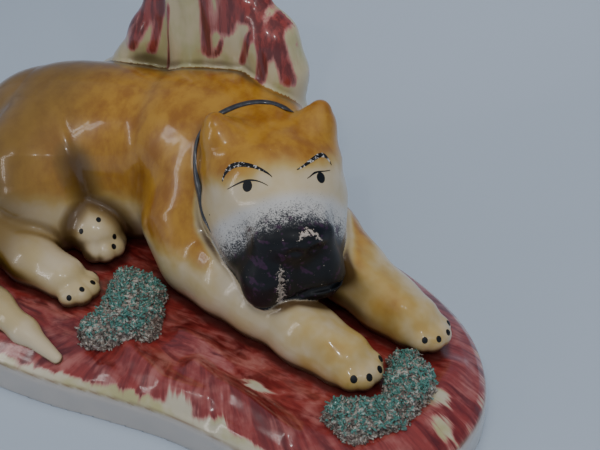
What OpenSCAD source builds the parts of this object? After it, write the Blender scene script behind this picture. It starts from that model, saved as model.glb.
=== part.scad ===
// Pottery figure of a mastiff lying in front of a hollow tree trunk, on a mounded plinth.
// X runs along the plinth towards the front paws, -Y is the front of the figure, Z is up.
// The origin is the middle of the plinth, on the surface it stands on.

/* [Plinth] */
// Length of the plinth, end to end
plinth_length = 292; // [284:1:300]
// Width of the plinth, front to back
plinth_width = 168; // [166:1:172]
// Height of the plain wall below the mound
wall_height = 14; // [11:1:17]
// Rise of the mound above the wall
mound_rise = 11; // [9:0.5:13]
// Thickness of the slab that closes the underside
floor_thickness = 4; // [3:0.5:6]
// Diameter of the vent hole in the underside
vent_diameter = 6; // [3:0.5:10]

/* [Clay] */
// Thickness of the pressed clay walls
clay = 5; // [4:0.5:6]

/* [Dog] */
// Turn of the head away from the body line
head_turn = 47; // [40:1:54]
// Half the width of the head at the cheeks
cheek_half_width = 31; // [29:0.5:33]
// How far the muzzle reaches in front of the eyes
muzzle_reach = 44; // [40:1:48]
// Height of each ear above its root
ear_height = 15; // [12:1:18]
// Radius of the forelegs half way along
foreleg_radius = 13.5; // [12:0.5:15]
// Width of the rolled collar strip
collar_width = 5; // [3.5:0.5:7]

/* [Trunk] */
// Height of the trunk's mouth above the table
trunk_height = 200; // [185:1:215]
// Half the length of the trunk's mouth
mouth_half_length = 31; // [28:0.5:34]
// Depth of the flutes down the trunk
flute_depth = 1.6; // [0.6:0.2:2]

/* [Moss] */
// Diameter of one strand of sieved clay
strand_diameter = 3; // [2.4:0.2:3.6]

/* [Hidden] */
ball_facets = 18;
limb_facets = 14;
toe_facets = 10;
strand_facets = 5;
curve_steps = 4;
trunk_facets = 48;
big = 400;
joint_gap = 0.05;

glaze_white = [0.90, 0.88, 0.82];
glaze_cream = [0.86, 0.79, 0.62];
glaze_ochre = [0.78, 0.52, 0.22];
glaze_maroon = [0.42, 0.10, 0.09];
enamel_black = [0.07, 0.06, 0.06];
moss_green = [0.42, 0.62, 0.56];

// The plinth's outline, anticlockwise, as fractions of half its length and width.
outline_fractions = [
    [1, -0.28], [0.97, 0.1], [0.83, 0.46], [0.6, 0.72], [0.29, 0.89], [-0.07, 0.97],
    [-0.48, 1], [-0.82, 0.84], [-0.97, 0.38], [-1, -0.18], [-0.94, -0.64], [-0.75, -0.93],
    [-0.48, -1], [-0.21, -0.98], [0, -0.92], [0.24, -0.87], [0.51, -0.9], [0.76, -0.89], [0.92, -0.67]
];

// The mound's slope: how far in from the edge, and what share of its rise it has there.
mound_slope = [[0, 0], [1, 0.16], [4, 0.42], [10, 0.68], [20, 0.85], [36, 0.95], [60, 1]];
mound_top = wall_height + mound_rise;

// Everything that stands on the mound is drawn for a mound this high, and lifted to the real one.
drawn_mound_top = 25;
lift = mound_top - drawn_mound_top;
trunk_foot = 14;

// The body from rump to shoulder: [x, y, lower z, upper z, radius].
body_stations = [
    [-114, 28, 42, 56, 32], [-94, 30, 42, 61, 33], [-66, 33, 46, 64, 34],
    [-46, 34, 48, 68, 34], [-26, 35, 50, 73, 34], [-4, 24, 46, 60, 27]
];
body_seam = 33;

// The head's own frame: its middle, with x towards the nose and z up.
head_middle = [25.5, 21.5, 91];
neck_back = -13;
neck_drop = -14;
neck_radius = 26.5;
shoulder_top = [-28, 37, 76, 31];
withers = [-3, 42, 81, 28.5];
skull_height = 15;

// The trunk's middle line and its sections: [z, half length, half depth, shift along x].
trunk_back = 64;
trunk_middle = -30;
trunk_sections = [
    [trunk_foot, 50, 14.5, 0], [60, 46, 15, 0], [100, 38, 16, 0], [128, 33, 16, -2],
    [148, 30, 16.5, -2], [168, 27, 17, -2], [trunk_height - lift - 12, 27, 17, -2],
    [trunk_height - lift, mouth_half_length, 18, -2]
];

// Two roots that swell out of the trunk: [x, z, radius] from the foot up.
root_lines = [
    [[5, 40, 14], [6, 80, 14], [7, 108, 13], [3, 124, 12], [-6, 138, 8]],
    [[-108, 38, 15], [-106, 54, 14], [-88, 74, 13], [-73, 92, 11], [-64, 110, 10], [-56, 130, 8]]
];

// The heaps in each clump of moss: [x, y, height of the middle, radius].
hind_heaps = [[-28, -21, 25, 10], [-18, -30, 26, 13.5], [-12, -42, 26, 15], [-19, -54, 24, 11.5]];
front_heaps = [[98, -47, 23, 9.5], [107, -45, 24, 11], [115, -38, 24, 10.5]];
paw_heaps = [[118, -29, 24, 10], [117, -16, 25, 11], [107, -3, 24, 9]];

// One step of a smooth curve that passes through b and c.
function curve_point(a, b, c, d, t) =
    0.5 * (2 * b + (c - a) * t + (2 * a - 5 * b + 4 * c - d) * t * t
        + (3 * b - a - 3 * c + d) * t * t * t);

// A closed smooth loop through a list of points.
function smooth_loop(p) = [
    for (i = [0:len(p) - 1], k = [0:curve_steps - 1])
        curve_point(p[i], p[(i + 1) % len(p)], p[(i + 2) % len(p)], p[(i + 3) % len(p)],
            k / curve_steps)
];

// Where a value lies between the lowest and highest of a list, from -1 to 1.
function share(value, values) =
    2 * (value - min(values)) / (max(values) - min(values)) - 1;

raw_outline = smooth_loop(outline_fractions);
raw_x = [for (p = raw_outline) p.x];
raw_y = [for (p = raw_outline) p.y];
outline = [
    for (p = raw_outline)
        [share(p.x, raw_x) * plinth_length / 2, share(p.y, raw_y) * plinth_width / 2]
];

// The outline drawn in by a distance, at a height.
function outline_ring(inset, z) = [
    for (p = outline)
        [p.x * (1 - 2 * inset / plinth_length), p.y * (1 - 2 * inset / plinth_width), z]
];

// One ring round the trunk, drawn in by a distance; the flutes are left off the inside.
function trunk_ring(section, inset, flutes) = [
    for (i = [0:trunk_facets - 1])
        let (a = 360 * i / trunk_facets, wave = flutes * cos(7 * a))
        [trunk_middle + section[3] + (section[1] - inset + wave) * cos(a),
            trunk_back + (section[2] - inset + wave) * sin(a), section[0]]
];

// A solid skinned over rings of points, lowest ring first.
module skin(rings) {
    count = len(rings[0]);
    layers = len(rings);
    points = [for (ring = rings) each ring];
    sides = [
        for (i = [0:layers - 2], j = [0:count - 1])
            let (low = i * count + j, low_next = i * count + (j + 1) % count)
            each [[low, low + count, low_next + count], [low, low_next + count, low_next]]
    ];
    bottom = [for (j = [0:count - 1]) j];
    top = [for (j = [0:count - 1]) layers * count - 1 - j];
    polyhedron(points, concat([bottom], sides, [top]), convexity = 8);
}

// A ball given as [x, y, z, radius], with its radius made smaller by a wall.
module ball(b, wall = 0, facets = limb_facets) {
    translate([b[0], b[1], b[2]])
        sphere(r = b[3] - wall, $fn = facets);
}

// A limb: each ball is joined to the next by a tapering length.
module limb(balls, facets = limb_facets) {
    for (i = [0:len(balls) - 2])
        hull() {
            ball(balls[i], 0, facets);
            ball(balls[i + 1], 0, facets);
        }
}

// Toes that fan out from the middle of a paw, in the direction the paw points.
module toes(paw, direction, reach, radius, spread) {
    for (side = [-1.5:1:1.5])
        hull() {
            ball([paw.x, paw.y, paw.z, radius], 0, toe_facets);
            translate([paw.x, paw.y, paw.z - radius * 0.45])
                rotate([0, 0, direction + side * spread])
                    translate([reach - abs(side) * radius * 0.2, 0, 0])
                        sphere(r = radius, $fn = toe_facets);
        }
}

// Everything on one side of the plane y = at, towards +Y when side is 1.
module half_space(at, side) {
    translate([-big / 2, side > 0 ? at : at - big, -big / 2])
        cube([big, big, big]);
}

// ---- plinth ----

// The plinth as a solid block, drawn in and lowered by a wall.
module plinth_block(wall = 0) {
    skin(concat(
        [outline_ring(wall, wall > 0 ? -1 : 0), outline_ring(wall, wall_height - wall / 2)],
        [for (s = mound_slope) if (s[0] > 0)
            outline_ring(s[0] + wall, wall_height - wall / 2 + (mound_rise - wall / 2) * s[1])]
    ));
}

// Low folds of rock pressed into the front slope.
module rock_folds() {
    fold_radius = 6;
    fold_height = mound_top - 8;
    folds = [
        [[-8, -48], [4, -58], [22, -64], [44, -63]],
        [[30, -44], [44, -50], [62, -56], [80, -66]],
        [[-108, -62], [-90, -70], [-64, -75], [-38, -73]]
    ];
    for (fold = folds)
        limb([for (i = [0:3]) [fold[i].x, fold[i].y, fold_height - i, fold_radius - i * 0.5]], toe_facets);
}

// The plinth's outside with its folds.
module plinth_solid() {
    plinth_block();
    rock_folds();
}

// The plinth's outside as the pieces that stand on it meet it.
module ground() {
    translate([0, 0, -lift])
        plinth_solid();
}

// Pieces that stand on the mound, raised to its height.
module on_mound() {
    translate([0, 0, lift])
        children();
}

module plinth_shell() {
    color(glaze_maroon)
        difference() {
            plinth_solid();
            plinth_block(clay);
        }
}

module plinth_floor() {
    vent_at = [40, 0];
    color(glaze_white)
        difference() {
            linear_extrude(floor_thickness)
                polygon([for (p = outline_ring(clay + joint_gap, 0)) [p.x, p.y]]);
            translate([vent_at.x, vent_at.y, -1])
                cylinder(d = vent_diameter, h = floor_thickness + 2, $fn = 48);
        }
}

// ---- dog ----

module head_frame() {
    translate(head_middle)
        rotate([0, 0, -head_turn])
            children();
}

// The neck's end where the collar goes round it, in the head's frame.
module neck_ball(wall = 0) {
    head_frame()
        ball([neck_back, 0, neck_drop, neck_radius], wall, ball_facets);
}

// The body with its shoulder and neck as one solid, drawn in by a wall.
module body_solid(wall = 0) {
    last = len(body_stations) - 1;
    for (i = [0:last - 1])
        hull()
            for (s = [body_stations[i], body_stations[i + 1]], z = [s[2], s[3]])
                ball([s[0], s[1], z, s[4]], wall, ball_facets);
    hull() {
        ball(shoulder_top, wall, ball_facets);
        ball(withers, wall, ball_facets);
        neck_ball(wall);
    }
    hull() {
        chest = body_stations[last];
        ball([chest[0], chest[1], chest[2], chest[4]], wall, ball_facets);
        neck_ball(wall);
    }
}

// Two balls placed either side of the head's middle line.
module head_pair(x, side, z, radius, wall) {
    for (s = [-1, 1])
        ball([x, s * side, z, radius], wall, ball_facets);
}

// The head as a solid in its own frame, drawn in by a wall.
module head_solid(wall = 0) {
    skull_side = cheek_half_width - 20;
    cheek_side = cheek_half_width - 15;
    jowl_side = cheek_half_width - 17.5;
    muzzle_tip = muzzle_reach + 6;
    muzzle_drop = -37;
    flew_side = 11;
    hull() {
        ball([neck_back, 0, neck_drop, neck_radius], wall, ball_facets);
        head_pair(2, skull_side, -6, 20, wall);
    }
    hull() {
        head_pair(2, skull_side, -6, 20, wall);
        head_pair(12, cheek_side, -14, 15, wall);
    }
    hull() {
        ball([neck_back, 0, neck_drop, neck_radius], wall, ball_facets);
        head_pair(12, cheek_side, -16, 15, wall);
        ball([12, 0, -24, 16], wall, ball_facets);
    }
    hull() {
        head_pair(8, cheek_side + 2, -24, 13, wall);
        head_pair(24, jowl_side, -28, 12.5, wall);
    }
    hull() {
        head_pair(24, jowl_side, -28, 12.5, wall);
        head_pair(muzzle_reach - 3, flew_side - 1, -32, 10.5, wall);
    }
    hull() {
        head_pair(12, cheek_side - 2, -12, 14, wall);
        head_pair(muzzle_reach - 2, 9, -13, 11, wall);
    }
    hull() {
        head_pair(12, cheek_side - 4, -20, 14, wall);
        head_pair(muzzle_reach - 3, flew_side, muzzle_drop, 10.5, wall);
    }
    hull() {
        head_pair(muzzle_reach - 2, 9, -13, 11, wall);
        head_pair(muzzle_reach - 3, flew_side, muzzle_drop, 10.5, wall);
    }
    hull() {
        ball([muzzle_reach - 2, 0, -11, 10], wall, ball_facets);
        ball([muzzle_tip, 0, -8, 6.5], wall, ball_facets);
    }
    hull() {
        head_pair(14, 9, -3, 12, wall);
        ball([muzzle_reach - 8, 0, -12, 10], wall, ball_facets);
    }
}

// Everything behind the collar line, in the head's frame.
module behind_collar() {
    translate([neck_back - big, -big / 2, -big / 2])
        cube([big, big, big]);
}

module body_half(side) {
    color(glaze_ochre)
        difference() {
            intersection() {
                difference() {
                    body_solid();
                    body_solid(clay);
                }
                half_space(body_seam, side);
            }
            ground();
            head_frame()
                head_solid();
            trunk_solid();
        }
}

module head() {
    color(glaze_cream)
        head_frame()
            difference() {
                head_solid();
                head_solid(clay);
                behind_collar();
            }
}

// A pointed ear that grows out of the corner of the skull, with a shallow hollow in its front.
module ear(side) {
    root = [0, side * (cheek_half_width - 13.5), skull_height - 14, 12.8];
    middle = [-2, side * (cheek_half_width - 10), skull_height + ear_height - 19.5, 8.4];
    tip = [-3, side * (cheek_half_width - 7.5), skull_height + ear_height - 12, 3.5];
    hollow_forward = 10;
    color(glaze_ochre)
        head_frame()
            difference() {
                hull() {
                    ball(root);
                    ball(middle);
                    ball(tip);
                }
                hull() {
                    ball([middle[0] + hollow_forward, middle[1], middle[2] - 1, 4]);
                    ball([tip[0] + hollow_forward - 4, tip[1], tip[2] - 3, 2]);
                }
                head_solid();
            }
}

// The rolled strip of clay round the neck, over the joint of head and body.
module collar() {
    strip_thickness = 2.4;
    gap_under_jaw = 130;
    links = 14;
    step = (360 - gap_under_jaw) / links;
    start = -90 + gap_under_jaw / 2;
    color(enamel_black)
        difference() {
            head_frame()
                for (i = [0:links - 1])
                    hull()
                        for (a = [start + i * step, start + (i + 1) * step])
                            translate([neck_back, neck_radius * cos(a), neck_drop + neck_radius * sin(a)])
                                rotate([0, 90, 0])
                                    cylinder(r = strip_thickness, h = collar_width, center = true,
                                        $fn = 10);
            head_frame()
                head_solid();
            body_solid();
        }
}

module foreleg_near_solid() {
    paw = [88, -21, 33];
    limb([[-9, 24, 68, 26.5], [-8, 13, 50, 25.5], [2, 4, 39, 21.5], [20, -5, 37, 17],
        [40, -11, 35, foreleg_radius + 1], [66, -17, 33, foreleg_radius], [86, -21, 31, foreleg_radius]]);
    toes(paw, -13, 11, 6.5, 24);
}

module foreleg_far_solid() {
    paw = [104, 15, 33];
    limb([[26, 34, 52, 22], [46, 30, 46, 18], [66, 24, 40, foreleg_radius + 1],
        [86, 19, 34, foreleg_radius - 0.5], [101, 15, 32, foreleg_radius - 0.5]]);
    toes(paw, -15, 10, 6.5, 24);
}

module hind_leg_near_solid() {
    paw = [-49, -36, 30];
    limb([[-92, 17, 60, 33], [-93, 4, 55, 30], [-88, -4, 45, 25], [-82, -8, 38, 19.5]], ball_facets);
    limb([[-116, -14, 38, 16], [-98, -28, 34, 13], [-72, -34, 32, 11.5], [-52, -36, 30.5, 10.6]]);
    toes(paw, -3, 10, 5.8, 31);
}

module hind_paw_far_solid() {
    paw = [-57, -6, 34];
    limb([[-82, 4, 38, 12], [-72, -1, 36, 12], [-64, -4, 35, 11.5], [-57, -6, 34, 11]]);
    toes(paw, -16, 10, 5.8, 28);
}

// A limb cut to stand on the mound and against the body.
module seated(shade) {
    color(shade)
        difference() {
            union()
                children();
            ground();
            body_solid();
        }
}

module hind_paw_far() {
    difference() {
        seated(glaze_cream)
            hind_paw_far_solid();
        hind_leg_near_solid();
    }
}

module tail() {
    difference() {
        seated(glaze_cream)
            limb([[-132, 4, 34, 10], [-133, -12, 32, 10], [-128, -29, 31, 10], [-118, -42, 30.5, 9.5],
                [-104, -52, 30, 9], [-87, -59, 29, 9], [-68, -65, 27.5, 8], [-48, -69, 24.5, 6],
                [-27, -73, 21, 3]]);
        hind_leg_near_solid();
    }
}

// ---- trunk ----

module trunk_roots() {
    root_forward = 4;
    for (line = root_lines)
        limb([for (b = line) [b[0], trunk_back - root_forward, b[1], b[2]]]);
}

// The outside of the trunk as a solid.
module trunk_solid() {
    skin([for (s = trunk_sections) trunk_ring(s, 0, flute_depth)]);
    trunk_roots();
}

// The well inside the trunk, open at the mouth and at the foot.
module trunk_well() {
    last = len(trunk_sections) - 1;
    foot = trunk_sections[0];
    mouth = trunk_sections[last];
    skin(concat(
        [trunk_ring([foot[0] - 1, foot[1], foot[2], foot[3]], clay + flute_depth, 0)],
        [for (i = [1:last - 1]) trunk_ring(trunk_sections[i], clay + flute_depth, 0)],
        [trunk_ring([mouth[0] + 1, mouth[1], mouth[2], mouth[3]], clay + flute_depth, 0)]
    ));
}

module trunk_half(side) {
    color(glaze_cream)
        difference() {
            intersection() {
                trunk_solid();
                half_space(trunk_back, side);
            }
            trunk_well();
            ground();
        }
}

// ---- moss ----

// Heaps of sieved clay run together: a core in each, with short strands standing out all over it.
// Each heap is [x, y, height of its middle, radius].
module moss_clump(heaps) {
    golden_angle = 137.5;
    core = 0.84;
    flatness = 0.9;
    strands_each = 13;
    color(moss_green)
        difference() {
            for (heap = heaps) {
                middle = [heap[0], heap[1], heap[2]];
                radius = heap[3];
                translate(middle)
                    scale([1, 1, flatness])
                        sphere(r = radius * core, $fn = 14);
                for (i = [0:strands_each - 1]) {
                    lean = 6 + 80 * sqrt(i / strands_each);
                    turn = golden_angle * i;
                    hull()
                        for (reach = [core - 0.12, 1])
                            translate([middle.x + radius * reach * sin(lean) * cos(turn),
                                middle.y + radius * reach * sin(lean) * sin(turn),
                                middle.z + radius * flatness * reach * cos(lean)])
                                rotate([0, 0, turn])
                                    sphere(d = strand_diameter, $fn = strand_facets);
                }
            }
            ground();
            foreleg_near_solid();
            foreleg_far_solid();
            hind_leg_near_solid();
            hind_paw_far_solid();
            body_solid();
        }
}

plinth_shell();
plinth_floor();
on_mound() body_half(-1);  // body_near_half
on_mound() body_half(1);  // body_far_half
on_mound() head();
on_mound() ear(-1);  // ear_near
on_mound() ear(1);  // ear_far
on_mound() collar();
on_mound() seated(glaze_cream) foreleg_near_solid();  // foreleg_near
on_mound() seated(glaze_cream) foreleg_far_solid();  // foreleg_far
on_mound() seated(glaze_cream) hind_leg_near_solid();  // hind_leg_near
on_mound() hind_paw_far();
on_mound() tail();
on_mound() trunk_half(-1);  // trunk_front_half
on_mound() trunk_half(1);  // trunk_back_half
on_mound() moss_clump(hind_heaps);  // moss_clump_hind
on_mound() moss_clump(front_heaps);  // moss_clump_front
on_mound() moss_clump(paw_heaps);  // moss_clump_paws
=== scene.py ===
"""Glazed pottery figure of a lying mastiff with a hollow tree trunk: looks, light and camera."""

import math

import bpy
import numpy as np
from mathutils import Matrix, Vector


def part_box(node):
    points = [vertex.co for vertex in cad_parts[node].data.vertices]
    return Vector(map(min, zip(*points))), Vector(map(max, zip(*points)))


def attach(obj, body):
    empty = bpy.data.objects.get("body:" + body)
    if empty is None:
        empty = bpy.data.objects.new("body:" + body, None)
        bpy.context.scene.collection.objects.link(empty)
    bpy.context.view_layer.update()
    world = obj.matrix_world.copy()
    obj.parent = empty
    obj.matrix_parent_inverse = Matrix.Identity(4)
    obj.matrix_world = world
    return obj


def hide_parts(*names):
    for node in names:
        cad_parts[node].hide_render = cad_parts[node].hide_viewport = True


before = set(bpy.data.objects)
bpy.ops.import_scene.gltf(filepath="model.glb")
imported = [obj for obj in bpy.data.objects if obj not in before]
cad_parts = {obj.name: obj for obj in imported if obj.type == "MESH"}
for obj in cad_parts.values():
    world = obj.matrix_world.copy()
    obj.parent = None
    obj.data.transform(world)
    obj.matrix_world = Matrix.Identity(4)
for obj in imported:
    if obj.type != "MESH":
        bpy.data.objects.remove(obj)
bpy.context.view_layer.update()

MM = 0.001
BODY = "root"
COARSE = 1

# ---------------------------------------------------------------- places taken from the frame


def corners(node):
    """A node's lowest and highest corners in millimetres."""
    low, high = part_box(node)
    return np.array(low) / MM, np.array(high) / MM


plinth_low, plinth_high = corners("plinth_shell")
MIDDLE = (plinth_low + plinth_high) / 2
MOUND_TOP = plinth_high[2]
WALL_SHARE = 0.56
WALL_TOP = MOUND_TOP * WALL_SHARE
HALF_LENGTH = (plinth_high[0] - plinth_low[0]) / 2
HALF_WIDTH = (plinth_high[1] - plinth_low[1]) / 2
# The planes where the two halves of the body and of the trunk are joined.
SEAM_Y = corners("body_near_half")[1][1]
TRUNK_Y = corners("trunk_front_half")[1][1]
TRUNK_TOP = corners("trunk_front_half")[1][2]
# The middle of the skull, and how far the head turns from the body's line.
head_low, head_high = corners("head")
HEAD = np.array([head_low[0] + 28.9, head_low[1] + 48.0, head_high[2] - 13.7])
HEAD_TURN = math.radians(-47)

# ---------------------------------------------------------------- shapes as distance fields, in millimetres


def smooth_min(a, b, blend):
    """The nearer of two distances, with a fillet of the given size where they meet."""
    if blend <= 0:
        return np.minimum(a, b)
    gap = np.maximum(blend - np.abs(a - b), 0) / blend
    return np.minimum(a, b) - gap * gap * blend / 4


def smooth_max(a, b, blend):
    return -smooth_min(-a, -b, blend)


def ramp(values, start, end):
    """0 at start, 1 at end, with a soft change between."""
    t = np.clip((values - start) / (end - start), 0, 1)
    return t * t * (3 - 2 * t)


def capsule(p, a, b):
    """Distance to a tapering length between two balls, each (x, y, z, radius)."""
    dx, dy, dz = b[0] - a[0], b[1] - a[1], b[2] - a[2]
    length2 = dx * dx + dy * dy + dz * dz
    px, py, pz = p[0] - a[0], p[1] - a[1], p[2] - a[2]
    t = np.clip((px * dx + py * dy + pz * dz) / length2, 0, 1)
    gap = np.sqrt((px - t * dx) ** 2 + (py - t * dy) ** 2 + (pz - t * dz) ** 2)
    return gap - (a[3] + t * (b[3] - a[3]))


def chain(p, balls, blend=0):
    """Distance to a limb that runs through a list of balls."""
    skin = capsule(p, balls[0], balls[1])
    for a, b in zip(balls[1:], balls[2:]):
        skin = smooth_min(skin, capsule(p, a, b), blend)
    return skin


def ellipsoid(p, centre, radii):
    """Roughly the distance to an ellipsoid, right at its surface."""
    x, y, z = [(p[k] - centre[k]) / radii[k] for k in range(3)]
    outer = np.sqrt(x * x + y * y + z * z)
    slope = np.sqrt((x / radii[0]) ** 2 + (y / radii[1]) ** 2 + (z / radii[2]) ** 2)
    return outer * (outer - 1) / np.maximum(slope, 1e-6)


def rounded_box(p, centre, half, radius):
    """Distance to a block with rounded edges."""
    q = [np.abs(p[k] - centre[k]) - (half[k] - radius) for k in range(3)]
    outside = np.sqrt(sum(np.maximum(v, 0) ** 2 for v in q))
    return outside + np.minimum(np.maximum(np.maximum(q[0], q[1]), q[2]), 0) - radius


def tall_chain(p, stations, blend):
    """Distance to a trunk of flesh through stations, each (x, y, low z, high z, radius)."""
    skin = None
    for a, b in zip(stations, stations[1:]):
        dx, dy = b[0] - a[0], b[1] - a[1]
        t = np.clip(((p[0] - a[0]) * dx + (p[1] - a[1]) * dy) / (dx * dx + dy * dy), 0, 1)
        low, high = a[2] + t * (b[2] - a[2]), a[3] + t * (b[3] - a[3])
        z = np.clip(p[2], low, high)
        gap = np.sqrt((p[0] - a[0] - t * dx) ** 2 + (p[1] - a[1] - t * dy) ** 2 + (p[2] - z) ** 2)
        part = gap - (a[4] + t * (b[4] - a[4]))
        skin = part if skin is None else smooth_min(skin, part, blend)
    return skin


def waves(p, scale, seed):
    """Slow, smooth unevenness between about -1 and 1, the same on every run."""
    turns = np.random.default_rng(seed).uniform(0, 2 * math.pi, (4, 3))
    total = 0
    for k, (a, b, c) in enumerate(turns):
        s = scale * (1 + 0.45 * k)
        total = total + np.sin(p[0] / s + a) * np.sin(p[1] / s + b) * np.sin(p[2] / s + c) / (1 + 0.5 * k)
    return total * 0.5


# ---------------------------------------------------------------- the dog


def head_frame(p):
    """A point in the head's own frame: ahead, to its left, and up."""
    x, y = p[0] - HEAD[0], p[1] - HEAD[1]
    c, s = math.cos(HEAD_TURN), math.sin(HEAD_TURN)
    return x * c + y * s, y * c - x * s, p[2] - HEAD[2]


def head_place(ahead, left, up):
    """A place in the head's own frame as a point of the scene, in millimetres."""
    c, s = math.cos(HEAD_TURN), math.sin(HEAD_TURN)
    return np.array([HEAD[0] + ahead * c - left * s, HEAD[1] + ahead * s + left * c, HEAD[2] + up])


def both_sides(q):
    """The head's frame folded onto one side, so that each form is made twice."""
    return q[0], np.abs(q[1]), q[2]


# The top of the neck in the head's own frame: (ahead, left, up, radius).
NECK = (-13, 0, -14, 26.5)


def neck_ball():
    x, y, z = head_place(*NECK[:3])
    return (x, y, z, NECK[3])


# The mouth runs lower on the near side, ending in a hanging lip.
MOUTH_LINE = [
    (45, -20.5, -42.5, 1.4), (52, -12.5, -44, 1.5), (53.5, -5.4, -41, 1.9),
    (53.5, 0.5, -39, 1.9), (53.5, 6, -36.5, 1.8), (53, 15, -36, 1.6), (47, 21.5, -37, 1.3),
]


def skull_form(p):
    """The head without its ears."""
    q = head_frame(p)
    f = both_sides(q)
    skull = ellipsoid(q, (0, 0, -6), (25, 28.5, 20.5))
    brow = ellipsoid(f, (13, 10, -3), (13.5, 15, 13.5))
    cheek = ellipsoid(f, (9, 14, -17), (19, 17, 18))
    skin = smooth_min(smooth_min(skull, brow, 9), cheek, 9)
    neck = capsule(q, NECK, (2, 0, -14, 25))
    skin = smooth_min(skin, neck, 6)
    flare = 1 - 0.004 * (q[2] + 24)
    muzzle = rounded_box((f[0], f[1] / flare, f[2]), (30, 0, -25), (22.5, 18.5, 20), 7)
    bridge = chain(q, [(12, 0, -4, 12), (34, 0, -9, 10.5), (47, 0, -11, 8.5)])
    muzzle = smooth_min(muzzle, bridge, 7)
    jowl = chain(q, [(46, -12, -30, 9), (45, -11.8, -38.3, 8)])
    muzzle = smooth_min(muzzle, jowl, 4)
    corner = ellipsoid(q, (43, 17, -36), (7, 5, 5))
    muzzle = smooth_min(muzzle, corner, 3)
    skin = smooth_min(skin, muzzle, 14)
    jaw = chain(f, [(8, 18, -24, 13), (24, 13.5, -28, 12.5), (41, 10, -32, 10.5)], 6)
    skin = smooth_min(skin, jaw, 9)
    nose = ellipsoid(q, (49.5, 3, -9.5), (7, 9.5, 6))
    skin = smooth_min(skin, nose, 2.5)
    groove = chain(q, [
        (57.5, 1, -14, 1.5), (55, -5.5, -21, 1.3), (54, -6.4, -30, 1.4), (53.5, -5.6, -41, 1.6),
    ])
    skin = smooth_max(skin, -groove, 1.6)
    for side in (-1, 1):
        nostril = ellipsoid(q, (57.5, 3 + side * 4.6, -13.5), (3, 2.4, 1.8))
        skin = smooth_max(skin, -nostril, 2.5)
    lips = chain(q, MOUTH_LINE)
    return smooth_max(skin, -lips, 1.2)


def ear_form(p, side):
    q = head_frame(p)
    q = (q[0], q[1] * side, q[2])
    return chain(q, [(0, 17.5, 1, 13.5), (-2, 21, 10.5, 8.4), (-3, 23.5, 18, 3.5)], 6)


def paw(p, middle, turn, reach, radius, spread):
    """Four toes that fan out from the middle of a paw, by a spread in degrees, with creases between them."""
    skin = None
    for side in (-1.5, -0.5, 0.5, 1.5):
        a = math.radians(turn + side * spread)
        ahead = reach - abs(side) * radius * 0.22
        tip = (
            middle[0] + ahead * math.cos(a),
            middle[1] + ahead * math.sin(a),
            middle[2] - radius * 0.45,
            radius * 0.93,
        )
        toe = capsule(p, (*middle, radius), tip)
        skin = toe if skin is None else smooth_min(skin, toe, 0.6)
    return skin


def body_form(p):
    """The barrel and rump behind a shallow valley, and the shoulders, withers and chest before it."""
    rear = tall_chain(p, [(-114, 28, 42, 56, 31.5), (-94, 30, 42, 61, 32.5), (-66, 33, 46, 65, 32.5),
                          (-50, 35, 48, 70, 31.5)], 14)
    front = tall_chain(p, [(-38, 37, 50, 72, 29), (-20, 34, 50, 72, 30), (-4, 24, 46, 60, 26.5)], 10)
    neck = neck_ball()
    shoulder = (-24, 37, 76, 30)
    withers = (-3, 42, 81, 28)
    for a, b in ((shoulder, neck), (withers, neck), (shoulder, withers), ((-4, 24, 46, 26), neck)):
        front = smooth_min(front, capsule(p, a, b), 8)
    return smooth_min(rear, front, 4)


def foreleg_near_form(p):
    leg = chain(p, [
        (-9, 24, 68, 26.5), (-8, 13, 50, 25.5), (2, 4, 39, 21.5), (20, -5, 37, 17),
        (40, -11, 35, 14.2), (66, -17, 33, 13), (86, -21, 31.5, 12.8),
    ], 8)
    shin = chain(p, [(12, -10, 52, 3), (42, -14, 46.5, 3), (80, -24, 42, 2.5)])
    leg = smooth_min(leg, shin, 9)
    return smooth_min(leg, paw(p, (88, -21, 33), -13, 11.5, 6.6, 25), 2.5)


def foreleg_far_form(p):
    leg = chain(p, [
        (26, 34, 52, 21.5), (46, 30, 46, 18), (66, 24, 40, 14.5), (86, 19, 34, 12.8), (101, 15, 32, 12.6),
    ], 8)
    shin = chain(p, [(50, 21, 60, 3), (74, 15, 50, 3), (98, 10, 43, 2.5)])
    leg = smooth_min(leg, shin, 9)
    return smooth_min(leg, paw(p, (104, 15, 33), -15, 10.5, 6.5, 25), 2.5)


def haunch_form(p):
    return chain(p, [(-92, 17, 60, 33), (-93, 4, 55, 30), (-88, -4, 45, 25), (-82, -8, 38, 19.5)], 8)


def hind_leg_near_form(p):
    foot = chain(p, [
        (-116, -14, 38, 16), (-98, -28, 34, 13), (-72, -34, 32, 11.4), (-52, -36, 30.5, 10.6),
    ], 6)
    foot = smooth_min(foot, paw(p, (-49, -36, 30), -3, 10.5, 5.8, 31), 2)
    return smooth_min(haunch_form(p), foot, 5)


def hind_paw_far_form(p):
    leg = chain(p, [(-82, 4, 38, 12), (-72, 0, 37, 12.5), (-63, -3, 37, 12.8), (-56, -5, 36.5, 12.6)], 4)
    return smooth_min(leg, paw(p, (-56, -6, 34), -16, 11, 6.2, 28), 2.5)


def tail_form(p):
    return chain(p, [
        (-132, 4, 34, 10), (-133, -12, 32, 10), (-128, -29, 31, 9.8), (-118, -42, 30.5, 9.5),
        (-104, -52, 30, 9), (-87, -59, 29, 8.8), (-68, -65, 27.5, 7.8), (-48, -69, 24.5, 5.8),
        (-27, -73, 21, 2.8),
    ], 5)


# ---------------------------------------------------------------- the trunk

# The trunk's oval section at each height: (z, half length, half depth, shift along x).
TRUNK_SECTIONS = np.array([
    [WALL_TOP, 50, 14.5, 0], [60, 46, 15, 0], [100, 38, 16, 0], [128, 33, 16, -2], [148, 30, 16.5, -2],
    [168, 27, 17, -2], [TRUNK_TOP - 12, 27, 17, -2], [TRUNK_TOP, 30.5, 17.6, -2],
])
TRUNK_X = -30
TRUNK_CLAY = 6.6
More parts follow.
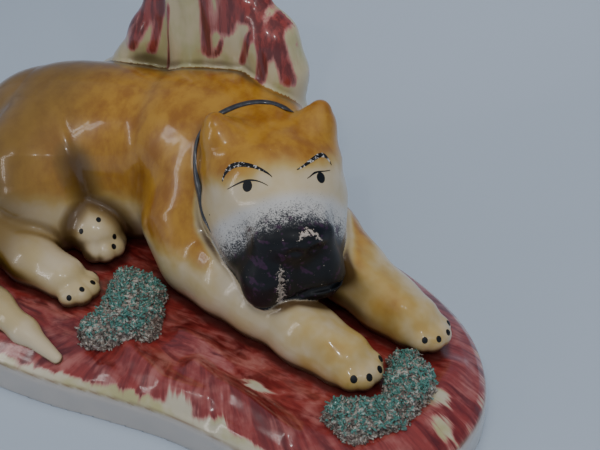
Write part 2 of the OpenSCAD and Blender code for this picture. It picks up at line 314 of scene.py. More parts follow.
# The roots and boughs at the trunk's sides, each a line of (x, z, radius).
TRUNK_LIMBS = [
    [(5, 40, 14), (6, 80, 14), (7, 108, 12.6), (3, 124, 11.6), (-6, 138, 7.6)],
    [(-108, 38, 15), (-106, 54, 13.6), (-88, 74, 12.6), (-73, 92, 10.6), (-64, 110, 9.6), (-56, 130, 7.6)],
]


def trunk_oval(p, inset):
    """Distance to the trunk's oval section, drawn in by an inset, and the direction from its middle."""
    z = np.clip(p[2], TRUNK_SECTIONS[0, 0], TRUNK_SECTIONS[-1, 0])
    length, depth, shift = [np.interp(z, TRUNK_SECTIONS[:, 0], TRUNK_SECTIONS[:, k]) for k in (1, 2, 3)]
    length, depth = length - inset, depth - inset
    x, y = p[0] - TRUNK_X - shift, p[1] - TRUNK_Y
    outer = np.sqrt((x / length) ** 2 + (y / depth) ** 2)
    slope = np.sqrt((x / length**2) ** 2 + (y / depth**2) ** 2)
    return outer * (outer - 1) / np.maximum(slope, 1e-6), np.arctan2(y / depth, x / length)


def trunk_form(p):
    column, turn = trunk_oval(p, 0)
    bark = (
        1.5 * np.cos(7 * turn + 0.6 * np.sin(p[2] / 17))
        + 0.5 * np.cos(19 * turn + np.sin(p[2] / 11) * 1.4)
    )
    column = column - bark * 0.8
    for line in TRUNK_LIMBS:
        limb = chain(p, [(x, TRUNK_Y - 4, z, r) for x, z, r in line], 8)
        column = smooth_min(column, limb, 5)
    return np.maximum(column, p[2] - TRUNK_TOP)


def trunk_well(p):
    """The hollow that holds the spills."""
    return trunk_oval(p, TRUNK_CLAY)[0]


# ---------------------------------------------------------------- the plinth

# The plinth's outline, anticlockwise, as fractions of half its length and width.
OUTLINE = np.array([
    [1, -0.28], [0.97, 0.1], [0.83, 0.46], [0.6, 0.72], [0.29, 0.89], [-0.07, 0.97],
    [-0.48, 1], [-0.82, 0.84], [-0.97, 0.38], [-1, -0.18], [-0.94, -0.64], [-0.75, -0.93],
    [-0.48, -1], [-0.21, -0.98], [0, -0.92], [0.24, -0.87], [0.51, -0.9], [0.76, -0.89], [0.92, -0.67],
])


def smooth_loop(points, steps):
    """A closed smooth curve through a list of points."""
    a, b, c, d = [np.roll(points, 1 - k, axis=0)[:, None] for k in range(4)]
    t = (np.arange(steps) / steps)[None, :, None]
    curve = 0.5 * (2 * b + (c - a) * t + (2 * a - 5 * b + 4 * c - d) * t**2 + (3 * b - a - 3 * c + d) * t**3)
    return curve.reshape(-1, points.shape[1])


def fitted_outline():
    """The plinth's outline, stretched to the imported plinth's own box."""
    loop = smooth_loop(OUTLINE, 6)
    low, high = loop.min(0), loop.max(0)
    return plinth_low[:2] + (loop - low) / (high - low) * (plinth_high[:2] - plinth_low[:2])


RIM = fitted_outline()


def distance_to_rim(x, y):
    """Distance in plan to the plinth's outline, below zero inside it."""
    best = np.full(x.shape, 1e9)
    crossings = np.zeros(x.shape, bool)
    for a, b in zip(RIM, np.roll(RIM, -1, axis=0)):
        dx, dy = b - a
        t = np.clip(((x - a[0]) * dx + (y - a[1]) * dy) / (dx * dx + dy * dy), 0, 1)
        best = np.minimum(best, (x - a[0] - t * dx) ** 2 + (y - a[1] - t * dy) ** 2)
        between = (a[1] <= y) != (b[1] <= y)
        ahead = x < a[0] + (y - a[1]) / (dy if dy else 1e-9) * dx
        crossings ^= between & ahead
    return np.where(crossings, -1, 1) * np.sqrt(best)


# A map of the distance to the outline, worked out once, because that distance is needed often.
MAP_STEP = 1.0
MAP_MARGIN = 12
map_x = np.arange(plinth_low[0] - MAP_MARGIN, plinth_high[0] + MAP_MARGIN, MAP_STEP)
map_y = np.arange(plinth_low[1] - MAP_MARGIN, plinth_high[1] + MAP_MARGIN, MAP_STEP)
rim_map = distance_to_rim(*np.meshgrid(map_x, map_y, indexing="ij"))


def rim_distance(p):
    """The distance to the outline, read from the map."""
    x = np.clip((p[0] - map_x[0]) / MAP_STEP, 0, len(map_x) - 1.001)
    y = np.clip((p[1] - map_y[0]) / MAP_STEP, 0, len(map_y) - 1.001)
    i, j = x.astype(int), y.astype(int)
    u, v = x - i, y - j
    low = rim_map[i, j] * (1 - u) + rim_map[i + 1, j] * u
    high = rim_map[i, j + 1] * (1 - u) + rim_map[i + 1, j + 1] * u
    return low * (1 - v) + high * v


# The folds of the mound: (the line each runs along in plan, how wide it is, how far it is raised).
FOLDS = [
    ([(-8, -48), (4, -58), (22, -64), (44, -63)], 6, 5),
    ([(14, -36), (26, -37), (40, -42)], 5, 3.6),
    ([(30, -50), (44, -54), (62, -57), (84, -63)], 5, 4.6),
    ([(-108, -62), (-90, -70), (-64, -75), (-38, -73)], 5, 2.6),
    ([(-4, -69), (14, -75), (30, -77)], 4, 3),
    ([(120, -50), (130, -24), (126, 8)], 6, 2.6),
    ([(56, -71), (84, -76), (112, -71)], 4.5, 3),
]
# The mound's slope: how far in from the edge, and what share of its rise it has there.
SLOPE_INWARD = [0, 1, 4, 10, 20, 36, 60]
SLOPE_SHARE = [0, 0.16, 0.42, 0.68, 0.85, 0.95, 1]


def mound_height(p):
    """Height of the mound's surface in plan."""
    inward = -rim_distance(p)
    slope = np.interp(inward, SLOPE_INWARD, SLOPE_SHARE)
    height = WALL_TOP + (MOUND_TOP - WALL_TOP) * slope
    flat = (p[0], p[1], np.float32(0))
    for line, width, lift in FOLDS:
        reach = chain(flat, [(x, y, 0, 0) for x, y in line])
        height = height + lift * np.exp(-((reach / width) ** 2)) * np.clip(inward / 6, 0, 1)
    height = height + 0.7 * waves((p[0], p[1], np.float32(3)), 7, 4) * np.clip(inward / 8, 0, 1)
    return height - 0.6


def mound_form(p):
    return (p[2] - mound_height(p)) * 0.85


def plinth_form(p):
    side = rim_distance(p)
    return np.maximum(smooth_max(mound_form(p), side, 2), -p[2])


# ---------------------------------------------------------------- joining the forms

# How large a fillet of slip and glaze fills the joint of each piece with the body.
JOINTS = {
    "trunk": 3, "foreleg_near": 6, "foreleg_far": 6, "hind_leg_near": 2.5, "hind_paw_far": 2.5,
    "tail": 4, "head": 2, "ear_near": 7, "ear_far": 7,
}


def all_forms(p):
    return {
        "body": body_form(p),
        "trunk": trunk_form(p),
        "foreleg_near": foreleg_near_form(p),
        "foreleg_far": foreleg_far_form(p),
        "hind_leg_near": hind_leg_near_form(p),
        "hind_paw_far": hind_paw_far_form(p),
        "tail": tail_form(p),
        "head": skull_form(p),
        "ear_near": ear_form(p, -1),
        "ear_far": ear_form(p, 1),
    }


# The collar's line on the skin in the head's frame, from behind the far ear to below the near cheek.
COLLAR_LINE = np.array([
    (-8, 12.6, 14.8), (-15.5, 7.9, 13.7), (-17.2, 1.9, 15.2), (-17.6, -6, 15.7), (-17.2, -14.2, 14.1),
    (-16.6, -21.5, 11.2), (-15.4, -27, 7.6), (-13, -30.6, 3.2), (-8.8, -31.4, -3), (-3.2, -31.8, -11),
    (3, -31.6, -16.8), (10.5, -31.2, -19.2), (15.5, -30.4, -21.5), (19, -29.6, -24.7),
])


def joined(forms):
    """One skin over all the forms, with a fillet at each joint."""
    skin = forms["body"]
    for name, blend in JOINTS.items():
        skin = smooth_min(skin, forms[name], blend)
    return skin


def dog_skin(p):
    return joined(all_forms(p))


# How far each piece reaches into its neighbours, and into the mound, so that no gap shows.
OVERLAP = 1.5
MOUND_OVERLAP = 1.2
# Each rank lies this much lower than the one before, so that no two skins coincide.
STEP_BETWEEN_RANKS = 0.04
# A point this near the joined skin is on the outside of its piece, not on a joint face.
SKIN_STEP = 0.5


def figure_piece(name, rank, cut=None):
    """The share of the joined skin that belongs to one piece, as a closed form of its own."""

    def field(p):
        forms = all_forms(p)
        own = forms.pop(name)
        rest = np.minimum.reduce(np.broadcast_arrays(*forms.values()))
        forms[name] = own
        skin = joined(forms) + rank * STEP_BETWEEN_RANKS
        piece = np.maximum(skin, (own - rest) / 2 - OVERLAP)
        piece = np.maximum(piece, -mound_form(p) - MOUND_OVERLAP)
        if cut is not None:
            piece = np.maximum(piece, cut(p))
        return piece

    return field


def half_cut(seam, side):
    """Keeps what lies on one side of a seam plane: -1 in front of it, 1 behind it, where it also overlaps."""

    def cut(p):
        return (seam - p[1]) * side - OVERLAP * (side > 0)

    return cut


def hollow_half_cut(seam, side):
    """The same for the trunk, which is also hollow."""
    half = half_cut(seam, side)

    def cut(p):
        return np.maximum(half(p), -trunk_well(p))

    return cut


# ---------------------------------------------------------------- turning fields into meshes


def surface(field, low, high, step):
    """Points and four-sided faces of the surface where a field is zero."""
    axes = [np.arange(low[k] - 2 * step, high[k] + 3 * step, step, dtype=np.float32) for k in range(3)]
    value = field(np.meshgrid(*axes, indexing="ij", sparse=True))
    value = np.array(np.broadcast_to(value, [len(a) for a in axes]))
    for axis in range(3):
        edge = [slice(None)] * 3
        for edge[axis] in (0, -1):
            value[tuple(edge)] = np.maximum(value[tuple(edge)], step)
    shape = np.array(value.shape)
    strides = np.array([shape[1] * shape[2], shape[2], 1])
    cells, points, quads = [], [], []
    for axis in range(3):
        first, second = [slice(None)] * 3, [slice(None)] * 3
        first[axis], second[axis] = slice(None, -1), slice(1, None)
        a, b = value[tuple(first)], value[tuple(second)]
        index = np.argwhere((a < 0) != (b < 0))
        va, vb = a[tuple(index.T)], b[tuple(index.T)]
        point = index.astype(np.float32)
        point[:, axis] += va / (va - vb)
        u, v = (axis + 1) % 3, (axis + 2) % 3
        ring = []
        for du, dv in ((-1, -1), (0, -1), (0, 0), (-1, 0)):
            ring.append(index @ strides + du * strides[u] + dv * strides[v])
        ring = np.stack(ring, axis=1)
        ring[va >= 0] = ring[va >= 0][:, ::-1]
        quads.append(ring)
        cells.append(ring.ravel())
        points.append(np.repeat(point, 4, axis=0))
    cells, points = np.concatenate(cells), np.concatenate(points)
    used, inverse = np.unique(cells, return_inverse=True)
    count = np.bincount(inverse)
    middle = np.stack([np.bincount(inverse, points[:, k]) / count for k in range(3)], axis=1)
    origin = np.array([a[0] for a in axes])
    return middle * step + origin, np.searchsorted(used, np.concatenate(quads))


def field_at(field, points):
    """A field's values at a list of points."""
    return np.asarray(field(tuple(points.T.astype(np.float32))), np.float64)


def slopes(field, points, reach):
    """The direction in which a field grows at each point."""
    offsets = np.concatenate([np.eye(3), -np.eye(3)]) * reach
    spread = points[None] + offsets[:, None]
    value = field_at(field, spread.reshape(-1, 3)).reshape(6, -1)
    return (value[:3] - value[3:]).T / (2 * reach)


def settle(field, points, step, rounds=2):
    """Moves the points onto the surface and gives the surface's direction at each."""
    for _ in range(rounds):
        slope = slopes(field, points, step * 0.3)
        size = np.maximum((slope**2).sum(1), 0.05)
        move = np.clip(field_at(field, points) / size, -step * 0.5, step * 0.5)
        points = points - move[:, None] * slope
    slope = slopes(field, points, step * 0.5)
    return points, slope / np.maximum(np.linalg.norm(slope, axis=1, keepdims=True), 1e-6)


def new_piece(name, points, faces, normals=None, **marks):
    """A mesh object from points in millimetres, with named values at its points."""
    mesh = bpy.data.meshes.new(name)
    mesh.from_pydata(points * MM, [], faces)
    mesh.shade_smooth()
    if normals is not None:
        mesh.normals_split_custom_set_from_vertices(normals)
    for mark, values in marks.items():
        layer = mesh.attributes.new(mark, "FLOAT", "POINT")
        layer.data.foreach_set("value", np.ascontiguousarray(values, np.float32))
    piece = bpy.data.objects.new(name, mesh)
    bpy.context.collection.objects.link(piece)
    return piece


def hand_over(piece, material, slot, *nodes):
    """Gives a finished piece its material and its body, and hides the CAD nodes that it stands for; the slot
    is not used.
    """
    piece.data.materials.append(material)
    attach(piece, BODY)
    if nodes:
        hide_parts(*nodes)


def crease_depth(field, points, normals, reach):
    """How closed in each point is, from 0 in the open to 1 deep in a fold: the measure for where shade is
    painted.
    """
    total = np.zeros(len(points))
    for share in (0.4, 0.7, 1):
        total += 1 - np.clip(field_at(field, points + normals * reach * share) / (reach * share), 0, 1)
    return total / 3


def whole_figure(p):
    """The dog, the trunk and the mound as one form."""
    return np.minimum(dog_skin(p), mound_form(p))


# Room round a CAD node's box for the fillets of its glazed piece.
FILLET_ROOM = np.array([9, 9, 6])


def sculpt(node, field, step, slot, material):
    """One glazed piece in place of a CAD node: its mesh, and the values that its glaze needs."""
    low, high = corners(node)
    points, faces = surface(field, low - FILLET_ROOM, high + FILLET_ROOM, step)
    points, normals = settle(field, points, step)
    outside = np.abs(field_at(dog_skin, points)) < SKIN_STEP
    outward = slopes(dog_skin, points, step * 0.5)
    outward /= np.maximum(np.linalg.norm(outward, axis=1, keepdims=True), 1e-6)
    normals[outside] = outward[outside]
    # Where shade is painted on the figure, deepest in its folds and under overhangs; glaze also pools there.
    crease = crease_depth(whole_figure, points, normals, 10)
    marks = figure_marks(tuple(points.T))
    piece = new_piece(f"{node}_glazed", points, faces, normals, crease=crease, **marks)
    hand_over(piece, material, slot, node)


# ---------------------------------------------------------------- what is painted where


def figure_marks(p):
    """What is painted where on the figure, from the place alone, so that pieces match where they join."""
    forms = all_forms(p)
    # Painted shade in the valleys between the barrel, the haunch and the far hind paw, where glaze also
    # pools.
    valley = valley_shade_share(forms) * ramp(p[0], -96, -80) * ramp(-p[2], -92, -70)
    trunk = forms.pop("trunk")
    dog = np.minimum.reduce(list(forms.values()))
    skull = forms.pop("head")
    rest = [form for name, form in forms.items() if not name.startswith("ear_")]
    others = np.minimum.reduce([trunk] + rest)
    return {
        "ochre": ochre_share(p),
        "face": ramp(others - skull, -0.3, 0.3),
        "muzzle": muzzle_share(p),
        "worn": worn_share(p),
        "trunk": ramp(dog - trunk, -1.0, 0.2),
        # Painted shade over the rump and haunch, away from the light, and deeper lower down.
        "left_shade": ramp(-p[0], 50, 92) * (1 + 0.3 * ramp(-p[2], -72, -46)),
        "valley": valley,
        "streak": streak_share(p),
    }


# The pairs of pieces with shade painted in the valley between them, where glaze also pools, and how wide each
# valley is.
SHADED_VALLEYS = [
    ("hind_leg_near", "body", 11), ("hind_paw_far", "body", 9), ("hind_paw_far", "hind_leg_near", 7),
]


def valley_shade_share(forms):
    """How much shade is painted in the valleys between the barrel, the haunch and the far hind paw, where
    glaze also pools.
    """
    share = 0
    for one, other, width in SHADED_VALLEYS:
        near = np.minimum(forms[one], forms[other])
        across = (forms[one] - forms[other]) / width
        share = np.maximum(share, np.exp(-(across**2)) * ramp(-near, -4, -1.5))
    return share


def muzzle_share(p):
    """How much black enamel covers the muzzle: 0 before it starts, 1 where it is solid."""
    ahead, _, up = head_frame(p)
    return np.clip((ahead - 0.63 * up - 30) / 22, 0, 1.3)


def worn_share(p):
    """Where the enamel has flaked: a crescent over the nose and down the lip's middle groove."""
    ahead, left, up = head_frame(p)
    nose_left, nose_arch = 3.9, 0.12
    arc = up + 4.7 + nose_arch * (left - nose_left) ** 2
    crest = np.exp(-((arc / 1.3) ** 2)) * ramp(left, -2.5, 0.5) * ramp(-left, -11.5, -9.5)
    groove = np.exp(-(((left + 7) / 3.0) ** 2)) * ramp(-up, 16, 26)
    return np.maximum(np.maximum(1.15 * crest, 1.05 * groove), 0.2) * ramp(ahead, 42, 48)


# Brush streaks down the front of the trunk: (x at 120 mm up, lean, half width, lowest z, highest z).
STREAKS = [
    (-70, 0.75, 4.5, 103, 152), (-61, 0.55, 4, 104, 160),
    (-53.5, 0.3, 2.6, 104, 165), (-46, 0.15, 1.3, 98, 135),
    (-25, 0, 3.5, 112, 160), (-17, 0.2, 6.5, 126, 178), (-6, 0.1, 6, 134, 186), (-17.5, 0.4, 1.5, 114, 124),
    (-4, 0.35, 2.6, 113, 132), (6.5, 0.1, 3, 108, 138), (14.5, -0.3, 2.6, 108, 140), (9, -0.5, 3, 122, 150),
    (-34, 0.1, 4, 150, 196), (-50, 0.1, 4, 158, 198),
]


def streak_share(p):
    """Where maroon is brushed on the trunk; the back is streaked in the same way, turned about."""
    x, y, z = p
    x = np.where(y < TRUNK_Y, x, 2 * TRUNK_X - 2 - x)
    total = 0
    for at, lean, half, low, high in STREAKS:
        off = (x - at - lean * (z - 120)) / half
        total = total + np.exp(-(off**2)) * ramp(z, low - 3, low + 3) * ramp(-z, -high - 4, -high + 4)
    return np.clip(total, 0, 1)


def ochre_share(p):
    """Where the ochre glaze lies: the back, shoulder, haunch and the top of the head."""
    x, y, z = p
    ahead, left, up = head_frame(p)
    shoulder = 9 * np.exp(-(((x + 2) / 30) ** 2))
    body = np.maximum(ramp(z + 0.1 * y + shoulder, 42, 68), 0.45 * ramp(x, 30, 90))
    head = ramp(up - 0.45 * ahead + 0.35 * np.abs(left - 1), -14, 14)
    near_head = ramp(-skull_form(p), -7, -1) * ramp(ahead + 0.5 * up, -10, -7)
    return body * (1 - near_head) + head * near_head


# ---------------------------------------------------------------- materials


class Shader:
    """A short way to build a node material."""

    def __init__(self, name):
        self.material = bpy.data.materials.new(name)
        self.material.use_nodes = True
        self.tree = self.material.node_tree
        self.surface = self.tree.nodes["Principled BSDF"]

    def node(self, kind, inputs=(), **settings):
        made = self.tree.nodes.new(kind)
        for key, value in settings.items():
            setattr(made, key, value)
        for key, value in dict(inputs).items():
            self.feed(made.inputs[key], value)
        return made

    def feed(self, socket, value):
        if isinstance(value, bpy.types.NodeSocket):
            self.tree.links.new(value, socket)
        else:
            socket.default_value = value

    def place(self, scale=(1, 1, 1), turn=(0, 0, 0)):
        """The object's own coordinates in millimetres, stretched and turned."""
        source = self.node("ShaderNodeTexCoord").outputs["Object"]
        stretch = tuple(s / MM for s in scale)
        made = self.node("ShaderNodeMapping", {"Vector": source, "Scale": stretch, "Rotation": turn})
        return made.outputs["Vector"]

    def noise(self, size, detail=3, rough=0.5, scale=(1, 1, 1), turn=(0, 0, 0), distortion=0):
        made = self.node("ShaderNodeTexNoise", {
            "Vector": self.place(scale, turn), "Scale": 1 / size, "Detail": detail, "Roughness": rough,
            "Distortion": distortion,
        })
        return made.outputs["Fac"]

    def mark(self, name):
        """A value that the mesh holds at its points."""
        return self.node("ShaderNodeAttribute", attribute_name=name).outputs["Fac"]

    def math(self, operation, a, b):
        return self.node("ShaderNodeMath", {0: a, 1: b}, operation=operation).outputs[0]

    def plus(self, a, b):
        return self.math("ADD", a, b)

    def times(self, a, b):
        return self.math("MULTIPLY", a, b)

    def swing(self, noise, size):
        """A noise as a swing of about that size to either side of zero."""
        return self.times(self.math("SUBTRACT", noise, 0.5), size)

    def ramp(self, value, low, high):
        """0 below low, 1 above high, smooth between."""
        made = self.node("ShaderNodeMapRange", {"Value": value, "From Min": low, "From Max": high})
        made.interpolation_type = "SMOOTHSTEP"
        return made.outputs["Result"]

    def mix(self, share, a, b, most=1):
        """Colour a with a share of colour b over it, and at most that much of b."""
        made = self.node("ShaderNodeMix", data_type="RGBA")
        self.feed(made.inputs["Factor"], share if most == 1 else self.times(share, most))
        for key, value in ((6, a), (7, b)):
            self.feed(made.inputs[key], value if isinstance(value, bpy.types.NodeSocket) else (*value, 1))
        return made.outputs[2]

    def bump(self, height, distance):
        made = self.node("ShaderNodeBump", {"Height": height, "Distance": distance * MM, "Strength": 1.0})
        return made.outputs["Normal"]

    def finish(self, colour, normal, roughness=0.3, coat=1.0, coat_roughness=0.03):
        feeds = {
            "Base Color": colour, "Normal": normal, "Roughness": roughness,
            "Coat Weight": coat, "Coat Roughness": coat_roughness, "IOR": 1.5, "Coat IOR": 1.55,
        }
        for key, value in feeds.items():
            self.feed(self.surface.inputs[key], value)
        return self.material


CREAM = (0.55, 0.43, 0.22)
PALE = (0.60, 0.49, 0.32)
HONEY = (0.50, 0.335, 0.10)
OCHRE = (0.47, 0.235, 0.024)
DEEP_OCHRE = (0.30, 0.115, 0.009)
# Brown of the painted shade over the rump, in the creases and in the valleys.
SHADE_BROWN = (0.17, 0.098, 0.018)
# Dark brown of painted shade and pooled glaze in the deepest creases and valleys.
POOLED_GLAZE_AND_SHADE = (0.075, 0.034, 0.008)
BLACK = (0.003, 0.003, 0.004)
DEEP_BLACK = (0.002, 0.002, 0.003)
SPECK = (0.014, 0.014, 0.02)
# A painted purple sheen on the black enamel.
PURPLE_SHEEN = (0.05, 0.012, 0.045)
BLOOM = (0.55, 0.55, 0.55)
NOSE_CHIP = (0.50, 0.42, 0.35)
BROW_CHIP = (0.55, 0.52, 0.48)
SLATE = (0.016, 0.018, 0.024)
WORN_SLATE = (0.05, 0.052, 0.06)
MAROON = (0.29, 0.034, 0.027)
DARK_MAROON = (0.10, 0.006, 0.007)
PINK = (0.50, 0.20, 0.17)
# Dark brown of the shade painted in the mound's hollows and under the figure.
HOLLOW_SHADE = (0.05, 0.01, 0.008)
LINE_BROWN = (0.22, 0.13, 0.07)
GREENISH = (0.46, 0.42, 0.20)
RIM_CREAM = (0.56, 0.50, 0.36)
BARK_CREAM = (0.57, 0.48, 0.29)
# The white wall's glaze, painted darker to stand for the wall's shade.
SHADED_WHITE = (0.46, 0.425, 0.39)
MOSS_SHADE = (0.11, 0.085, 0.07)
MOSS_CREAM = (0.43, 0.36, 0.30)
MOSS_PALE = (0.50, 0.52, 0.46)
TEAL = (0.075, 0.215, 0.18)
DARK_CLAY = (0.50, 0.43, 0.32)
PALE_CLAY = (0.56, 0.51, 0.42)
TABLE_BLUE = (0.45, 0.52, 0.61)
TABLE_PALE = (0.485, 0.555, 0.645)


def glaze_bump(s):
    """The slight waviness of a thick glaze."""
    return s.bump(s.noise(9, 2, 0.5), 0.16)


def figure_glaze():
    """The glaze of the dog and the trunk, one coat over both."""
    s = Shader("figure_glaze")
    colour = muzzle_colour(s, dog_colour(s))
    wander = s.swing(s.noise(7, 3, 0.6), 0.9)
    trunk = s.ramp(s.plus(s.mark("trunk"), wander), 0.42, 0.58)
    colour = s.mix(trunk, colour, trunk_colour(s))
    enamel = s.times(s.mark("muzzle"), s.mark("face"))
    dull = s.plus(s.times(enamel, 0.15), 0.28)
    coat = s.math("SUBTRACT", 0.55, s.times(enamel, 0.4))
    return s.finish(colour, glaze_bump(s), roughness=dull, coat=coat, coat_roughness=0.09)


def dog_colour(s):
    """Cream glaze under brushed ochre, with painted shade and pooled brown glaze in the creases and valleys,
    and painted shade over the rump.
    """
    cloud = s.noise(20, 3, 0.55)
    streak = s.noise(9, 4, 0.6, scale=(1, 1, 0.4))
    share = s.ramp(s.plus(s.mark("ochre"), s.swing(cloud, 0.9)), 0.1, 0.95)
    cream = s.mix(s.ramp(cloud, 0.35, 0.65), PALE, CREAM)
    ochre = s.mix(s.ramp(streak, 0.3, 0.72), OCHRE, DEEP_OCHRE)
    colour = s.mix(s.ramp(share, 0.0, 0.55), cream, HONEY)
    colour = s.mix(s.ramp(share, 0.35, 1.0), colour, ochre)
    enamelled = s.times(s.ramp(s.mark("muzzle"), 0.0, 0.2), s.mark("face"))
    # Shade painted into the creases, where glaze also pools, kept off the muzzle's black enamel.
    crease = s.times(s.mark("crease"), s.math("SUBTRACT", 1.0, enamelled))
    # Painted shade: the creases, the rump away from the light and the valleys, turned towards brown.
    shade_and_pooling = s.plus(s.times(s.ramp(crease, 0.12, 0.55), 0.65), s.mark("left_shade"))
    shade_and_pooling = s.math("MAXIMUM", shade_and_pooling, s.ramp(s.mark("valley"), 0.2, 0.75))
    colour = s.mix(shade_and_pooling, colour, SHADE_BROWN, 0.75)
    # The deepest painted shade and pooled glaze, near black-brown, in the deepest creases and valleys.
    deep_shade_and_pooling = s.math("MAXIMUM", s.ramp(crease, 0.36, 0.75), s.ramp(s.mark("valley"), 0.55, 1.1))
    return s.mix(deep_shade_and_pooling, colour, POOLED_GLAZE_AND_SHADE, 0.88)


def muzzle_colour(s, glaze):
    """The speckled black enamel of the muzzle over the face's glaze, flaked at the nose, with a painted
    purple sheen.
    """
    muzzle = s.mark("muzzle")
    colour = s.mix(s.ramp(muzzle, 0.0, 0.35), glaze, BLOOM, 0.85)
    speck = s.plus(s.swing(s.noise(0.7, 4, 0.75), 3.0), muzzle)
    speck = s.plus(s.swing(s.noise(4, 3, 0.55), 1.0), speck)
    colour = s.mix(s.ramp(speck, 0.5, 1.0), colour, SPECK, 0.97)
    colour = s.mix(s.ramp(muzzle, 0.85, 1.15), colour, DEEP_BLACK)
    # A painted purple sheen in patches on the solid black.
    sheen = s.times(s.ramp(s.noise(3.5, 2, 0.5), 0.58, 0.68), s.ramp(muzzle, 0.6, 0.8))
    colour = s.mix(sheen, colour, PURPLE_SHEEN, 0.75)
    chip = s.plus(s.noise(1.5, 4, 0.7), s.times(s.mark("worn"), 0.27))
    colour = s.mix(s.ramp(chip, 0.735, 0.755), colour, NOSE_CHIP)
    return s.mix(s.mark("face"), glaze, colour)


def trunk_colour(s):
    """Cream and yellow-green glaze with streaks of maroon brushed down the bark, and painted shade in its
    hollows.
    """
    run = s.noise(3.6, 4, 0.65, scale=(1, 1, 0.14), distortion=0.3)
    cloud = s.noise(16, 3, 0.6, scale=(1, 1, 0.5))
    ground = s.mix(s.ramp(cloud, 0.4, 0.62), BARK_CREAM, GREENISH)
    streak = s.plus(s.mark("streak"), s.swing(run, 1.1))
    maroon = s.mix(s.ramp(run, 0.4, 0.6), MAROON, DARK_MAROON)
    colour = s.mix(s.ramp(streak, 0.25, 0.5), ground, PINK)
    colour = s.mix(s.ramp(streak, 0.42, 0.8), colour, maroon, 0.9)
    # Painted shade and pooled glaze in the trunk's hollows and where it meets the dog.
    return s.mix(s.ramp(s.mark("crease"), 0.45, 0.9), colour, POOLED_GLAZE_AND_SHADE, 0.6)


def collar_enamel():
    """Slate-black enamel, a little worn."""
    s = Shader("collar_enamel")
    colour = s.mix(s.ramp(s.noise(2.2, 3, 0.6), 0.4, 0.75), SLATE, WORN_SLATE)
    return s.finish(colour, glaze_bump(s))


def face_enamel():
    """Black brush strokes, flaked here and there down to the white body."""
    s = Shader("face_enamel")
    flake = s.noise(1.3, 3, 0.6)
    colour = s.mix(s.times(s.ramp(flake, 0.56, 0.58), s.mark("flaky")), BLACK, BROW_CHIP)
    return s.finish(colour, s.bump(flake, 0.05), roughness=0.4, coat=0.1)


def brush_strokes(s):
    """Strokes that fan out towards the rim, and cross the middle of the mound at a slant."""
    around = s.node("ShaderNodeCombineXYZ", {
        "X": s.times(s.mark("turn_x"), 15.0),
        "Y": s.times(s.mark("turn_y"), 15.0),
        "Z": s.times(s.mark("inward"), 0.03),
    }).outputs[0]
    fan = s.node("ShaderNodeTexNoise", {
        "Vector": around, "Scale": 1.5, "Detail": 4.0, "Roughness": 0.6, "Distortion": 0.5,
    }).outputs["Fac"]
    slant = s.noise(5, 4, 0.62, scale=(0.3, 1, 1), turn=(0, 0, 0.7), distortion=0.8)
    near_rim = s.ramp(s.mark("inward"), 30, 12)
    return s.node("ShaderNodeMix", {"Factor": near_rim, "A": slant, "B": fan}, data_type="FLOAT").outputs[0]


def plinth_glaze():
    """Maroon brushed outwards over cream on the mound, painted shade in its hollows and under the figure, a
    brown line and a white wall painted darker for its shade.
    """
    s = Shader("plinth_glaze")
    strokes = brush_strokes(s)
    cloud = s.noise(20, 3, 0.6)
    blotch = s.noise(11, 3, 0.6)
    maroon = s.mix(s.ramp(strokes, 0.28, 0.62), DARK_MAROON, MAROON)
    thin = s.plus(s.times(strokes, 0.5), s.times(blotch, 0.5))
    maroon = s.mix(s.ramp(thin, 0.46, 0.68), maroon, PINK, 0.6)
    bare = s.plus(s.mark("bare"), s.swing(strokes, 2.2))
    ground = s.mix(s.ramp(cloud, 0.42, 0.62), RIM_CREAM, GREENISH)
    colour = s.mix(s.ramp(bare, 0.35, 0.6), maroon, PINK, 0.7)
    colour = s.mix(s.ramp(bare, 0.45, 0.85), colour, ground)
    # Shade painted in the mound's hollows and where the figure sits on it.
    colour = s.mix(s.ramp(s.mark("crease"), 0.4, 0.95), colour, HOLLOW_SHADE, 0.75)
    # The white wall, its glaze painted darker to stand for its shade.
    colour = s.mix(s.mark("wall"), colour, SHADED_WHITE)
    colour = s.mix(s.mark("line"), colour, LINE_BROWN, 0.85)
    return s.finish(colour, s.bump(s.noise(13, 1, 0.4), 1.6), roughness=0.28, coat_roughness=0.14)


def moss_glaze():
    """Strands in clumps of teal, with cream and grey between them and lower down."""
    s = Shader("moss_glaze")
    fine = s.noise(2.2, 3, 0.6)
    tip = s.plus(s.mark("tip"), s.swing(fine, 1.0))
    tip = s.plus(tip, s.swing(s.noise(4.5, 2, 0.5), 2.0))
    root = s.mix(s.ramp(fine, 0.40, 0.60), MOSS_SHADE, MOSS_CREAM)
    colour = s.mix(s.ramp(tip, 0.40, 0.62), root, TEAL)
    colour = s.mix(s.ramp(fine, 0.57, 0.64), colour, MOSS_PALE, 0.75)
    return s.finish(colour, s.bump(fine, 0.2), roughness=0.4, coat=0.6, coat_roughness=0.08)


def bare_clay():
    """The unglazed clay of the underside."""
    s = Shader("bare_clay")
    colour = s.mix(s.ramp(s.noise(20, 3, 0.6), 0.35, 0.7), DARK_CLAY, PALE_CLAY)
    return s.finish(colour, s.bump(s.noise(1.2, 4, 0.6), 0.15), roughness=0.7, coat=0.15, coat_roughness=0.3)


def table_top():
    """A pale matt table."""
    s = Shader("table")
    cloud = s.noise(300, 2, 0.5)
    return s.finish(s.mix(cloud, TABLE_BLUE, TABLE_PALE), s.bump(cloud, 0.1), roughness=0.6, coat=0.0)


# ---------------------------------------------------------------- making the pieces


